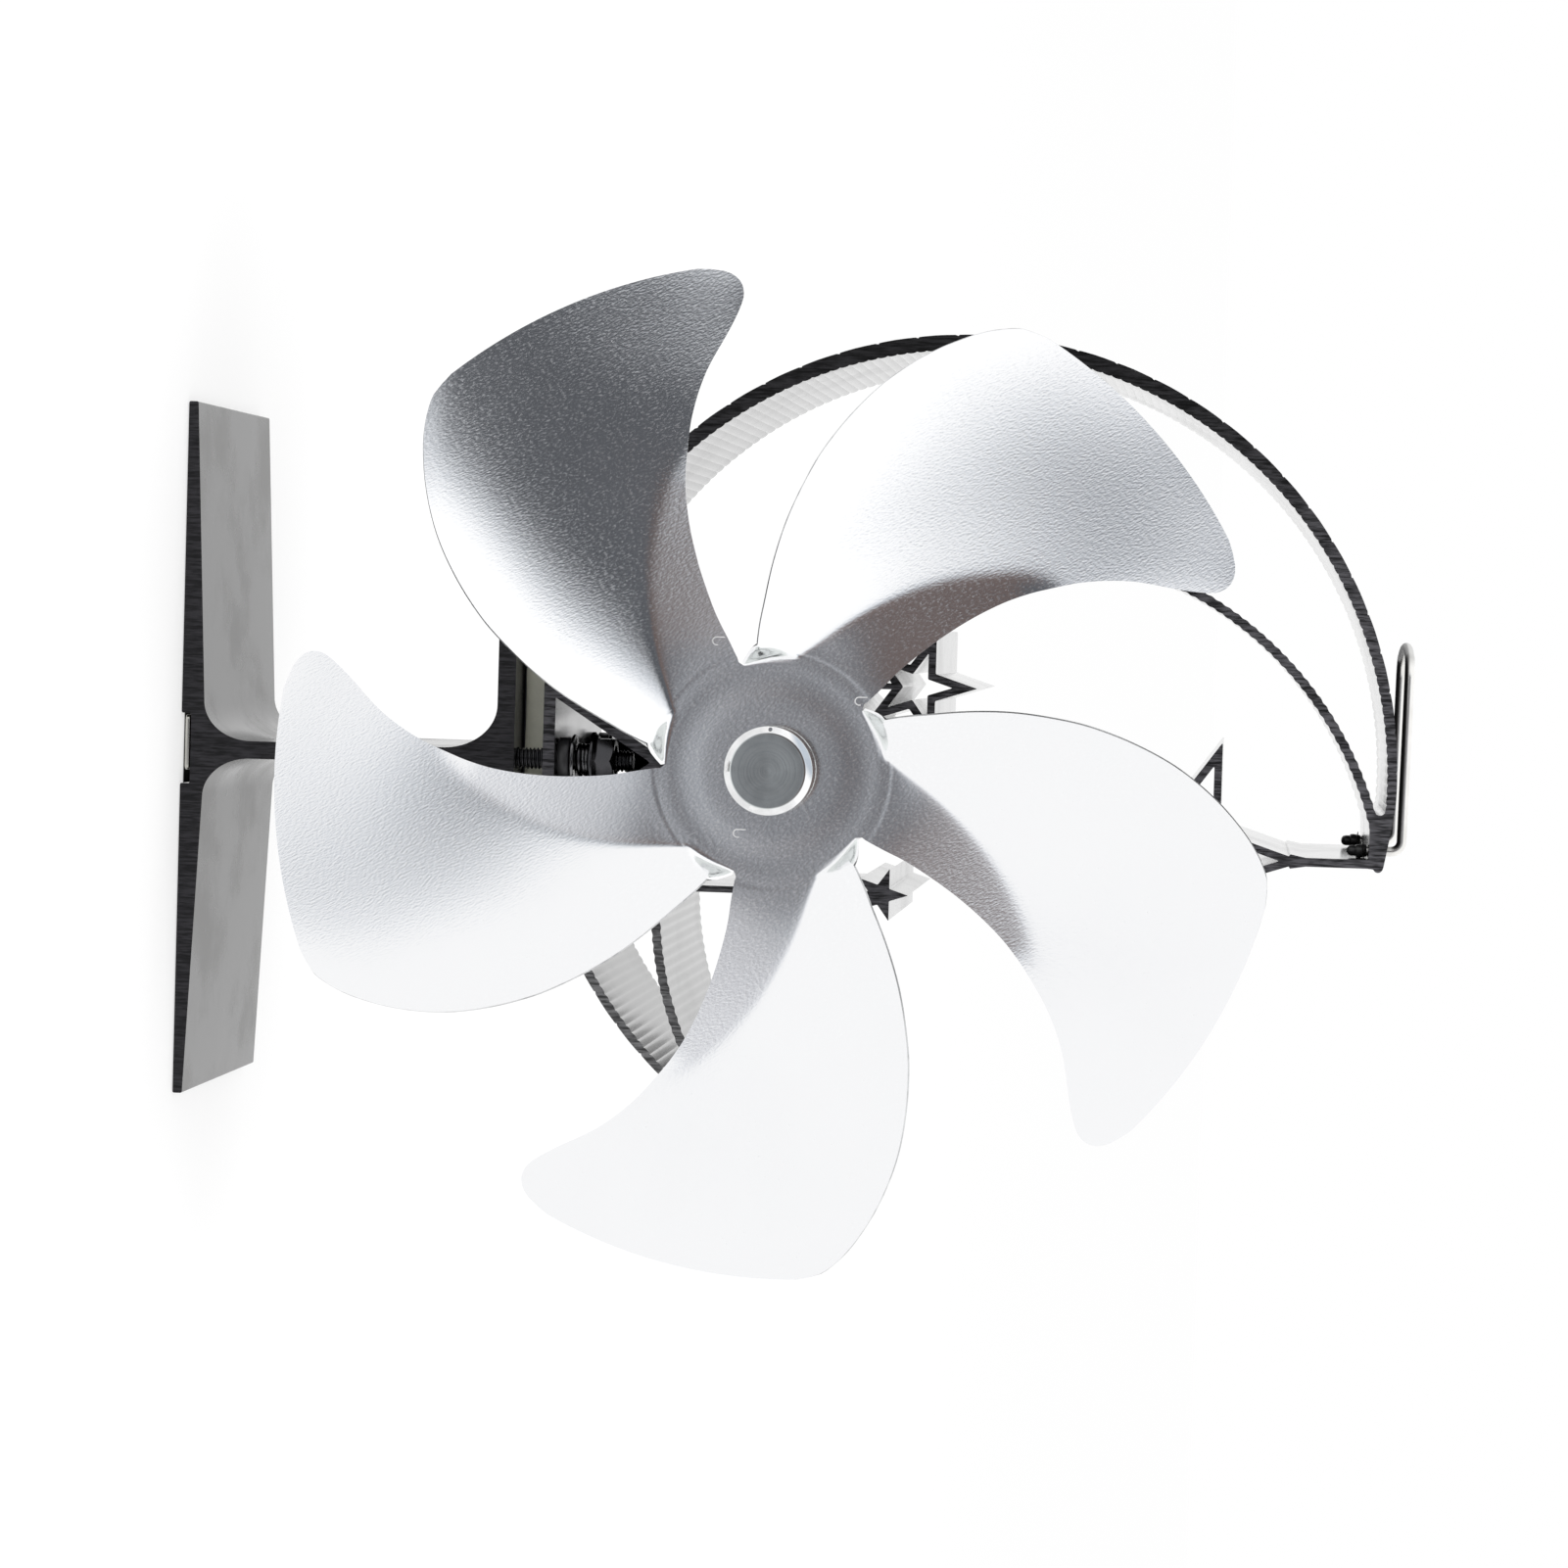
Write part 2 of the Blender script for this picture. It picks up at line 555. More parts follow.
def moveTo(bm, place, turn=Matrix.Identity(4)):
    bmesh.ops.transform(bm, matrix=Matrix.Translation(Vector(place) * mm) @ turn, verts=bm.verts)


def newObject(name, data):
    obj = bpy.data.objects.new(name, data)
    scene.collection.objects.link(obj)
    return obj


def makeObject(bm, name):
    bmesh.ops.remove_doubles(bm, verts=bm.verts, dist=0.0000005)
    bmesh.ops.recalc_face_normals(bm, faces=bm.faces)
    mesh = bpy.data.meshes.new(name)
    bm.to_mesh(mesh)
    bm.free()
    return newObject(name, mesh)


def applyModifiers(obj):
    graph = bpy.context.evaluated_depsgraph_get()
    mesh = bpy.data.meshes.new_from_object(obj.evaluated_get(graph))
    obj.modifiers.clear()
    old = obj.data
    obj.data = mesh
    bpy.data.meshes.remove(old)


def finishPiece(obj, finish, body, replaced, slot, sharpAbove=32):
    mesh = obj.data
    if not mesh.materials:
        mesh.materials.append(finishes[finish])
    mesh.shade_smooth()
    mesh.set_sharp_from_angle(angle=math.radians(sharpAbove))
    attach(obj, body)
    if replaced:
        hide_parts(*replaced)


def turnedPiece(name, points, steps, place, *finishing, turn=Matrix.Identity(4), closed=True):
    bm = bmesh.new()
    spinProfile(bm, points, steps, closed)
    moveTo(bm, place, turn)
    finishPiece(makeObject(bm, name), *finishing)


def cylinder(place, radius, length, segments=40, turn=Matrix.Identity(4)):
    bm = bmesh.new()
    bmesh.ops.create_cone(bm, cap_ends=True, segments=segments, radius1=radius * mm, radius2=radius * mm,
                          depth=length * mm)
    moveTo(bm, place, turn)
    return makeObject(bm, "cylinder")


def combine(main, others, operation="DIFFERENCE"):
    # the others are used up
    for other in others:
        joint = main.modifiers.new("joint", "BOOLEAN")
        joint.operation = operation
        joint.solver = "EXACT"
        joint.object = other
    applyModifiers(main)
    for other in others:
        bpy.data.objects.remove(other)


def drill(obj, holes):
    # upright holes, each with its middle, its radius and its length
    combine(obj, [cylinder((x, y, z), radius, length) for x, y, z, radius, length in holes])


def unite(name, pieces):
    combine(pieces[0], pieces[1:], "UNION")
    pieces[0].name = name
    return pieces[0]


def extrudeFilled(bm, front, back):
    # the closed outlines lie in the XZ plane and are drawn out along Y
    bmesh.ops.triangle_fill(bm, use_beauty=True, use_dissolve=False, edges=bm.edges[:])
    bmesh.ops.translate(bm, vec=(0, front * mm, 0), verts=bm.verts)
    made = bmesh.ops.extrude_face_region(bm, geom=bm.faces[:])
    moved = [item for item in made["geom"] if isinstance(item, bmesh.types.BMVert)]
    bmesh.ops.translate(bm, vec=(0, (back - front) * mm, 0), verts=moved)


def arcPoints(centre, radius, start, end, steps, high=None):
    # an ellipse's arc where high, its other radius, is given
    angles = [math.radians(start + (end - start) * i / steps) for i in range(steps + 1)]
    return [(centre[0] + radius * math.cos(angle), centre[1] + (high or radius) * math.sin(angle))
            for angle in angles]


def polar(centre, radius, degrees):
    angle = math.radians(degrees)
    return (centre[0] + radius * math.cos(angle), 0, centre[1] + radius * math.sin(angle))


# Heat sink: crescent moon, stars, plate, legs and motor ring, drawn out in one piece
sink = {
    "moonOutside": ((-0.64, 144.3), 78.7), "moonInside": ((0.19, 144.46), 76.87),
    "innerCentre": (24.82, 155.41), "innerRadius": 66.13, "innerWall": 1.64,
    "tipSunk": 0.34, "crownX": 4.5, "innerStartX": 9.0,
    "plateBottom": 67.6, "plateTop": 69.8, "plateHalfWidth": 22.0,
    "notchSpacing": 7.3, "notchDepth": 0.2, "ribsPerNotch": 4, "ribDepth": 0.19,
    "waveSpacing": 1.9, "waveHeight": 0.085, "waveLead": 0.9,
    "ringRadius": 18.0, "ringBore": 16.3,
    "legs": {"lean": 57.4, "footX": 11.4, "sunk": 0.6, "wall": 2.0, "topHalf": 1.8, "top": 95.0},
    # the solid horn: round at the slot's end, straight on top, with a nose over the big star's post
    "horn": ((3.0, 221.7), (4.4, 222.82), (5.8, 222.6), (9.9, 221.95), (14.6, 221.1), (15.2, 220.9),
             (15.58, 220.5), (15.66, 220.05), (15.5, 219.6), (15.05, 219.25), (14.95, 218.2), (13.3, 218.35),
             (10.8, 218.45), (8.2, 218.4), (3.3, 218.2)),
    "hornBottom": 218.3, "slotEnd": (4.2, 220.1), "slotRadius": 1.12,
    "starNotch": 0.382, "starWall": 1.4,
    # each star's X, its radius, the height that its post shows, and half the post's width
    "mediumStar": (-15.3, 11.0, 10.3, 0.55), "smallStar": (22.7, 5.0, 39.3, 0.6),
    "bigStar": (14.1, 22.2, 11.3, 0.8),
    "clampHole": (68.7, 3.2, 4.0), "handleHole": (220.2, 1.2, 6.0),    # height, radius and length
}


def patternedBand(name, start, end, spacing, outer, inner):
    # a band whose outer and inner outline, each a centre, a radius and one cell's steps, repeat along an arc
    bm = bmesh.new()
    cells = max(2, round(abs(end - start) / math.degrees(spacing / outer[1])))
    cell, more = (end - start) / cells, cells - 1
    ends = []
    for centre, radius, steps in (outer, inner):
        points = [polar(centre, radius + rise, start + cell * share) for share, rise in steps]
        verts, edges = chain(bm, points)
        bmesh.ops.spin(bm, geom=verts + edges, cent=Vector((centre[0], 0, centre[1])) * mm, axis=(0, -1, 0),
                       dvec=(0, 0, 0), angle=math.radians(cell * more), steps=more, use_duplicate=True)
        ends.append([points[0], polar(centre, radius + steps[-1][1], end)])
    bmesh.ops.remove_doubles(bm, verts=bm.verts, dist=0.000002)
    for pair in zip(*ends):
        places = [Vector(point) * mm for point in pair]
        bm.edges.new([min(bm.verts, key=lambda vert: (vert.co - place).length) for place in places])
    extrudeFilled(bm, sinkFront, sinkBack)
    return makeObject(bm, name)


def ribbedBand(name, start, end):
    # small nicks outside and fine ribs inside
    nick, rib, ribs = sink["notchDepth"], sink["ribDepth"], sink["ribsPerNotch"]
    nicked = [(0, 0), (0.25, 0.03), (0.5, 0.05), (0.75, 0.03), (0.9, 0), (0.925, -nick), (0.965, -nick * 0.5),
              (1, 0)]
    ribbed = [((i + share) / ribs, rib * (0.4 - depth)) for i in range(ribs)
              for share, depth in ((0, 0), (0.18, 0.75), (0.38, 1), (0.62, 1), (0.82, 0.75))]
    ribbed.append((1, rib * 0.4))
    return patternedBand(name, start, end, sink["notchSpacing"], (*sink["moonOutside"], nicked),
                         (*sink["moonInside"], ribbed))


def wavyBand(name, start, end):
    half, height, lead = sink["innerWall"] / 2, sink["waveHeight"], sink["waveLead"]
    waves = [[(i / 8, side * half + height * math.sin(math.tau * i / 8 + side * lead)) for i in range(9)]
             for side in (1, -1)]
    return patternedBand(name, start, end, sink["waveSpacing"],
                         *((sink["innerCentre"], sink["innerRadius"], wave) for wave in waves))


def flatMember(name, outlines, rounding=0.0, above=30):
    # a member with few corners, its long edges slightly rounded
    bm = bmesh.new()
    for outline in outlines:
        chain(bm, [(x, 0, z) for x, z in outline], closed=True)
    extrudeFilled(bm, sinkFront, sinkBack)
    if rounding:
        bmesh.ops.recalc_face_normals(bm, faces=bm.faces)
        sharp = [edge for edge in bm.edges if edge.is_manifold and edgeAlong(edge, 1) > 0.99
                 and edge.calc_face_angle(0) > math.radians(above)]
        bevelEdges(bm, sharp, rounding, 3)
    return makeObject(bm, name)


def starOutline(centre, radius):
    reach = (radius, radius * sink["starNotch"])
    points = [polar(centre, reach[i % 2], 90 + 36 * i) for i in range(10)]
    return [(x, z) for x, _, z in points]


def postOutline(x, half, low, high):
    return [(x - half, low), (x + half, low), (x + half, high), (x - half, high)]


def makeHeatSink():
    centre, outer = sink["moonOutside"]
    innerCentre, innerMiddle = sink["innerCentre"], sink["innerRadius"]
    bottom, plateBottom, plateTop = sink["hornBottom"], sink["plateBottom"], sink["plateTop"]
    # where the bands begin and end
    shift = Vector((innerCentre[0] - centre[0], innerCentre[1] - centre[1]))
    tipRadius = outer - sink["tipSunk"]
    along = (tipRadius ** 2 - innerMiddle ** 2 + shift.length_squared) / (2 * shift.length)
    tip = math.degrees(math.atan2(shift.y, shift.x)) - math.degrees(math.acos(along / tipRadius))
    crown = math.degrees(math.acos((sink["crownX"] - centre[0]) / outer))
    drop = math.degrees(math.asin((centre[1] - plateBottom) / outer))
    start = math.degrees(math.acos((sink["innerStartX"] - innerCentre[0]) / innerMiddle))
    tipPoint = polar(centre, tipRadius, tip)
    end = math.degrees(math.atan2(tipPoint[2] - innerCentre[1], tipPoint[0] - innerCentre[0])) % 360
    # the stars stand on the ring and on the inner band, and the big one hangs from the horn
    notch, half = sink["starNotch"], sink["plateHalfWidth"]
    mediumX, mediumReach, mediumPost, mediumHalf = sink["mediumStar"]
    smallX, smallReach, smallPost, smallHalf = sink["smallStar"]
    bigX, bigReach, bigPost, bigHalf = sink["bigStar"]
    ringTop = rotorHeight + math.sqrt(sink["ringRadius"] ** 2 - mediumX ** 2)
    inward = innerCentre[1] - math.sqrt(innerMiddle ** 2 - (smallX - innerCentre[0]) ** 2)
    medium = (mediumX, ringTop + mediumPost + mediumReach * notch)
    small = (smallX, inward + smallPost + smallReach * notch)
    big = (bigX, bottom - bigPost - bigReach)
    thin = sink["starWall"] / math.sin(math.radians(18))
    legs = sink["legs"]
    slope, low = math.tan(math.radians(legs["lean"])), plateTop - legs["sunk"]
    legIn = legs["footX"] + legs["sunk"] / slope
    legOut = legIn + legs["wall"] / math.sin(math.radians(legs["lean"]))
    shoulder = low + (legOut - legs["topHalf"]) * slope
    leg = [(legIn, low), (legOut, low), (legs["topHalf"], shoulder), (legs["topHalf"], legs["top"])]
    circles = [arcPoints((0, rotorHeight), sink[radius], 0, 360, 120)[:-1]
               for radius in ("ringRadius", "ringBore")]
    outlines = {
        "ring": (circles,),
        "plate": ([[(-half, plateBottom), (half, plateBottom), (half, plateTop), (-half, plateTop)]], 0.35),
        "legs": ([leg + [(-x, z) for x, z in reversed(leg)] + [(0, low + legIn * slope)]], 0.5, 20),
        "block": ([[*sink["horn"], *arcPoints(sink["slotEnd"], sink["slotRadius"], -90, 90, 12)]], 0.12, 20),
        "mediumStar": ([starOutline(medium, mediumReach), starOutline(medium, mediumReach - thin)], 0.22),
        "smallStar": ([starOutline(small, smallReach)], 0.18),
        "bigStar": ([starOutline(big, bigReach), starOutline(big, bigReach - thin)], 0.45),
        "mediumPost": ([postOutline(mediumX, mediumHalf, ringTop - 0.9, medium[1] - 3.6)],),
        "smallPost": ([postOutline(smallX, smallHalf, inward, small[1])],),
        # its foot goes down on both sides of the star's upper tip
        "bigPost": ([[(bigX - 1.3, big[1] + 19.6), (bigX, big[1] + 18.6), (bigX + 1.3, big[1] + 19.6),
                      *postOutline(bigX + 0.05, bigHalf, big[1] + 22.4, bottom + 2)[1:],
                      (bigX + 0.05 - bigHalf, big[1] + 22.4)]],),
    }
    made = unite("heatSinkExtrusion", [
        ribbedBand("leftBand", crown, 180 + drop),
        ribbedBand("rightBand", -drop, tip),
        wavyBand("innerBand", start, end),
        *(flatMember(name, *member) for name, member in outlines.items()),
    ])
    # for the clamps in the plate and the handle in the horn
    holes = [(0, depthMiddle + side * clampSpread, *sink["clampHole"]) for _, side in bothSides]
    holes += [(handleX, depthMiddle + side * handleSpread, *sink["handleHole"]) for _, side in bothSides]
    drill(made, holes)
    finishPiece(made, "heatSinkBlack", "stand", ["heat_sink"], "black_anodised")
    print("heat sink made:", len(made.data.polygons), "faces")


makeHeatSink()


# Fan: one pressed sheet, its disc with five blades. It is made flat with its own Z looking forward.
fan = {
    "blades": 5, "sheet": 0.5, "neckStep": 0.022, "bore": 4.3, "tip": 90.5,
    "discRings": (5.2, 8.6, 11.5, 13.5, 15.5, 17.0, 18.2, 18.9),
    "discDish": 0.036,                     # depth of the disc's very shallow waves
    "discWave": (8.6, 10.3),               # radius where they begin, and their length
    "neckColumns": 9, "bladeColumns": 30, "rows": 64, "lipRows": 7,
    "earlyRows": (0.0035, 0.007, 0.0105, 0.0145),
    "crease": 0.10,                        # how soft the crease is
    # radius, and the angles of the leading edge, the crease and the trailing edge
    "outline": (
        (22.3, -17.0, 21.4, 43.5), (25.5, -15.9, 16.1, 41.6), (30.0, -14.5, 10.1, 39.0),
        (37.0, -14.3, 2.7, 36.1), (44.0, -15.0, -3.8, 33.3), (51.0, -16.4, -10.1, 30.3),
        (56.0, -17.9, -14.3, 28.2), (59.0, -19.0, -16.6, 26.8), (65.0, -21.2, -18.6, 23.9),
        (72.0, -24.4, -21.7, 20.3), (79.0, -28.3, -25.5, 16.1), (84.0, -30.3, -27.5, 12.7),
        (86.6, -30.45, -27.8, 10.7), (88.6, -29.6, -27.2, 8.8), (89.8, -28.0, -25.8, 7.2),
        (90.5, -25.5, -23.5, 4.6),
    ),
    # the blade's root, between the disc and the blade: its radii at the neck, and what the lip takes and adds
    "root": {"inner": 20.1, "outer": 20.9, "innerDrop": 0.75, "outerRise": 1.6},
    # the lip's own end, past the trailing edge: angle, both radii, and the share of the edge's rise
    "lipEnd": ((45.3, 19.25, 22.25, 0.86), (47.4, 19.2, 21.75, 0.62), (49.4, 19.15, 21.1, 0.4),
               (51.2, 19.15, 20.5, 0.2), (52.7, 19.2, 20.0, 0.06)),
    # the pressed blade's rise, as a polynomial of its own X (rows) and Z (columns), fitted to the photograph
    "press": (
        (1.290, 6.247, 2.961, 1.955, 2.210, 1.982),
        (2.042, -1.880, -0.619, 6.513, -2.276, -7.663),
        (-0.279, 3.255, 4.130, -10.977, -6.588, 7.678),
        (0.369, 2.470, -12.065, -2.099, 12.336, 0.000),
        (0.016, -5.479, 8.540, 10.936, 0.000, 0.000),
        (0.151, 1.849, 0.708, 0.000, 0.000, 0.000),
        (0.146, 0.993, 0.000, 0.000, 0.000, 0.000),
    ),
    "pressFrame": (55, 36, 3, 32),         # the polynomial's zero and unit along X, then along Z
    # the flat neck's rise by 1, X, Z, XZ, ZZ and XX in a frame of its own
    "neck": (-0.307, -0.547, 0.596, 0.153, 0.104, -0.169),
    "neckFrame": (40, 20, 0, 12),
    "neckRamp": (22, 6),                   # radius where the neck begins to rise, and how slowly
    "creaseFade": (53.5, 61.5),            # radii between which the crease ends
    "stepRadii": (20.95, 21.75),
}


def smoothBetween(table, place):
    # a cubic through the table's rows, whose first column is the place
    index = 0
    while index < len(table) - 2 and table[index + 1][0] < place:
        index += 1
    first, second = table[index], table[index + 1]
    before = table[max(0, index - 1)]
    after = table[min(len(table) - 1, index + 2)]
    width = second[0] - first[0]
    t = (place - first[0]) / width
    values = []
    for column in range(1, len(first)):
        here, there = first[column], second[column]
        slopeHere = (there - before[column]) / (second[0] - before[0]) * width
        slopeThere = (after[column] - here) / (after[0] - first[0]) * width
        values.append((2 * t ** 3 - 3 * t ** 2 + 1) * here + (t ** 3 - 2 * t ** 2 + t) * slopeHere
                      + (3 * t ** 2 - 2 * t ** 3) * there + (t ** 3 - t ** 2) * slopeThere)
    return values


def smoothStep(low, high, value):
    t = min(1.0, max(0.0, (value - low) / (high - low)))
    return t * t * (3 - 2 * t)


def inFrame(x, z, place):
    zeroX, unitX, zeroZ, unitZ = place
    return (x - zeroX) / unitX, (z - zeroZ) / unitZ


def bladeRise(radius, degrees):
    # the neck stays nearly flat up to the crease, and the pressed blade rises from there
    x, z = radius * math.cos(math.radians(degrees)), radius * math.sin(math.radians(degrees))
    begin, slowness = fan["neckRamp"]
    ramp = max(0.0, radius - begin) ** 2
    ramp /= ramp + slowness ** 2
    a, b = inFrame(x, z, fan["neckFrame"])
    neck = ramp * sum(amount * term for amount, term in zip(fan["neck"], (1, a, b, a * b, b * b, a * a)))
    a, b = inFrame(x, z, fan["pressFrame"])
    pressed = sum(amount * a ** i * b ** j
                  for i, row in enumerate(fan["press"]) for j, amount in enumerate(row))
    lift = pressed - neck
    soft = fan["crease"]
    folded = lift if lift > 12 * soft else soft * math.log1p(math.exp(max(-60.0, lift / soft)))
    inner = 1 - smoothStep(*fan["creaseFade"], radius)
    return neck + lift + inner * (folded - lift) + fan["neckStep"] * smoothStep(*fan["stepRadii"], radius)


def columnAngle(column, lead, crease, trail):
    if column <= fan["neckColumns"]:
        share = column / fan["neckColumns"]
        return lead + (crease - lead) * (1 - (1 - share) ** 1.5)
    share = (column - fan["neckColumns"]) / fan["bladeColumns"]
    return crease + (trail - crease) * (share * 0.55 + 0.45 * share ** 1.8)


def fanPoint(bm, radius, degrees, rise):
    angle = math.radians(degrees)
    return bm.verts.new(Vector((radius * math.cos(angle), radius * math.sin(angle), rise)) * mm)


def fillRows(bm, first, second):
    for i in range(len(first) - 1):
        bm.faces.new((first[i], second[i], second[i + 1], first[i + 1]))


def makeFan():
    bm = bmesh.new()
    columns = fan["neckColumns"] + fan["bladeColumns"] + 1
    rootRadius, lead, crease, trail = fan["outline"][0]
    angles = [columnAngle(i, lead, crease, trail) for i in range(columns)]
    # the root's inner and outer line: one flat neck, then the lip that opens towards the trailing edge
    root = fan["root"]
    inner = [root["inner"] - root["innerDrop"] * smoothStep(crease - 3, trail + 4, angle) for angle in angles]
    outer = [root["outer"] + root["outerRise"] * smoothStep(crease - 1, trail - 4, angle) for angle in angles]
    rises = [bladeRise(max(radius, root["outer"]), angle) for radius, angle in zip(outer, angles)]
    for degrees, innerRadius, outerRadius, share in fan["lipEnd"]:
        angles.append(degrees)
        inner.append(innerRadius)
        outer.append(outerRadius)
        rises.append(rises[columns - 1] * share)
    lip = []
    for step in range(fan["lipRows"] + 1):
        t = step / fan["lipRows"]
        rise = t * t * (2.2 - 1.2 * t) * 0.45 + smoothStep(0, 1, t) * 0.55
        lip.append([fanPoint(bm, low + (high - low) * t, angle, height * rise)
                    for low, high, angle, height in zip(inner, outer, angles, rises)])
    for first, second in zip(lip, lip[1:]):
        fillRows(bm, first, second)
    previous = lip[-1][:columns]
    shares = [*fan["earlyRows"], *(1 - (1 - row / fan["rows"]) ** 1.25 for row in range(1, fan["rows"] + 1))]
    for share in shares:
        edges = smoothBetween(fan["outline"], rootRadius + (fan["tip"] - rootRadius) * share)
        line = []
        for i in range(columns):
            radius = outer[i] + (fan["tip"] - outer[i]) * share
            degrees = columnAngle(i, *edges)
            line.append(fanPoint(bm, radius, degrees, bladeRise(radius, degrees)))
        fillRows(bm, previous, line)
        previous = line
    # the disc's part that belongs to this blade, up to the next blade's neck
    previous = lip[0] + [fanPoint(bm, inner[0], lead + 360 / fan["blades"], 0)]
    turns = [math.atan2(vert.co.y, vert.co.x) for vert in previous]
    begin, length = fan["discWave"]
    for radius in (*reversed(fan["discRings"]), fan["bore"]):
        wave = fan["discDish"] * math.sin((radius - begin) / length * math.tau) if radius > begin else 0
        ring = [fanPoint(bm, radius, math.degrees(turn), wave) for turn in turns]
        fillRows(bm, ring, previous)
        previous = ring
    steps = fan["blades"] - 1
    bmesh.ops.spin(bm, geom=bm.verts[:] + bm.edges[:] + bm.faces[:], cent=(0, 0, 0), axis=(0, 0, 1),
                   dvec=(0, 0, 0), angle=math.tau / fan["blades"] * steps, steps=steps, use_duplicate=True)
    bmesh.ops.remove_doubles(bm, verts=bm.verts, dist=0.00002)
    moveTo(bm, (0, discY, rotorHeight), lookForward)
    sheet = makeObject(bm, "fanSheet")
    thick = sheet.modifiers.new("sheet", "SOLIDIFY")
    thick.thickness = fan["sheet"] * mm
    thick.offset = 0
    thick.use_even_offset = True
    thick.material_offset_rim = 1
    sheet.data.materials.append(finishes["satinSheet"])
    sheet.data.materials.append(finishes["cutEdge"])
    applyModifiers(sheet)
    finishPiece(sheet, "satinSheet", "rotor", ["fan_blades"], "pressed_aluminium", 35)
    print("fan made:", len(sheet.data.polygons), "faces")


makeFan()


# Base: foot, stem and platform, one extrusion with a groove for the strip
base = {
    "footWidth": 128.0, "edgeHeight": 1.75, "crownHeight": 4.2, "stem": 3.25,
    "footFillet": (7.3, 8.8), "platformFillet": (8.1, 10.0), "edgeRounding": 0.3,
    "grooveWidth": 13.0, "grooveHeight": 1.8,
    "platformWidth": 44.0, "platformTop": 62.3, "platformThickness": 3.3,
    "studHole": (60.0, 2.05, 11.0), "rivetHole": (2.9, 1.75, 2.8),     # height, radius and length
}
rivetY = 38.35


def makeBase():
    half = base["stem"] / 2
    wide, high = base["footFillet"]
    topWide, topHigh = base["platformFillet"]
    under = base["platformTop"] - base["platformThickness"]
    lower = arcPoints((half + wide, base["crownHeight"] + high), wide, 180, 270, 20, high)
    upper = arcPoints((half + topWide, under - topHigh), topWide, 90, 180, 20, topHigh)
    groove, foot, platform = (base[name] / 2 for name in ("grooveWidth", "footWidth", "platformWidth"))
    points = [(groove, base["grooveHeight"]), (groove, 0), (foot, 0), (foot, base["edgeHeight"]),
              *reversed(lower), *reversed(upper), (platform, under), (platform, base["platformTop"])]
    points += [(-x, z) for x, z in reversed(points)]
    made = flatMember("baseExtrusion", [points], base["edgeRounding"], 40)
    holes = [(0, depthMiddle + side * clampSpread, *base["studHole"]) for _, side in bothSides]
    drill(made, holes + [(0, rivetY, *base["rivetHole"])])
    finishPiece(made, "footBlack", "stand", ["base_extrusion"], "black_anodised")
    print("base made")


makeBase()


# Bimetal strip in the groove, with a rivet at its back end
strip = {
    "low": (-6.2, -15.15, 0.62), "high": (4.0, 43.85, 1.5),
    "corner": 0.9, "rounding": 0.26, "hole": (1.1, 1.7, 3.0), "rivetPlace": 0.45,
    "rivet": ((0, -0.42), (1.1, -0.42), (1.9, -0.3), (2.45, -0.08), (2.6, 0.0), (1.5, 0.0), (1.5, 2.85),
              (1.3, 3.05), (0, 3.05)),
}


def makeStrip():
    bm = bmesh.new()
    bmesh.ops.create_cube(bm, size=1.0)
    low, high = Vector(strip["low"]), Vector(strip["high"])
    bmesh.ops.scale(bm, vec=(high - low) * mm, verts=bm.verts)
    moveTo(bm, (low + high) / 2)
    bevelEdges(bm, [edge for edge in bm.edges if edgeAlong(edge, 2) > 0.9], strip["corner"], 5)
    sharp = [edge for edge in bm.edges if edge.is_manifold and edge.calc_face_angle(0) > math.radians(30)]
    bevelEdges(bm, sharp, strip["rounding"], 3)
    made = makeObject(bm, "bimetalLeaf")
    drill(made, [(0, rivetY, *strip["hole"])])
    finishPiece(made, "bimetalStrip", "strip", ["bimetal_strip"], "bimetal")
    turnedPiece("stripRivet", strip["rivet"], 48, (0, rivetY, strip["rivetPlace"]),
                "brightSteel", "stand", ["bimetal_rivet"], "bright_steel", 40, closed=False)


makeStrip()
print("strip made")


# Turned boss in the middle of the blades, and what holds it on the shaft
boss = {
    "radius": 7.88, "face": 6.76, "chamfer": 0.95, "height": 7.7, "spigot": 4.0, "spigotLength": 4.8,
    "bore": 1.15, "boreDepth": 5.2, "seat": 0.7,
    # the grub screw's hole and a punched mark: place from the disc's middle, radius, length
    "grub": ((-5.5, -3.7, 0), 1.5, 6.0), "mark": ((-7.34, -7.2, 0.25), 0.36, 0.7),
    "washer": ((4.15, -0.75), (7.75, -0.75), (8.0, -0.5), (8.0, 0.5), (7.75, 0.75), (4.15, 0.75)),
    "washerBehind": 1.45,
}


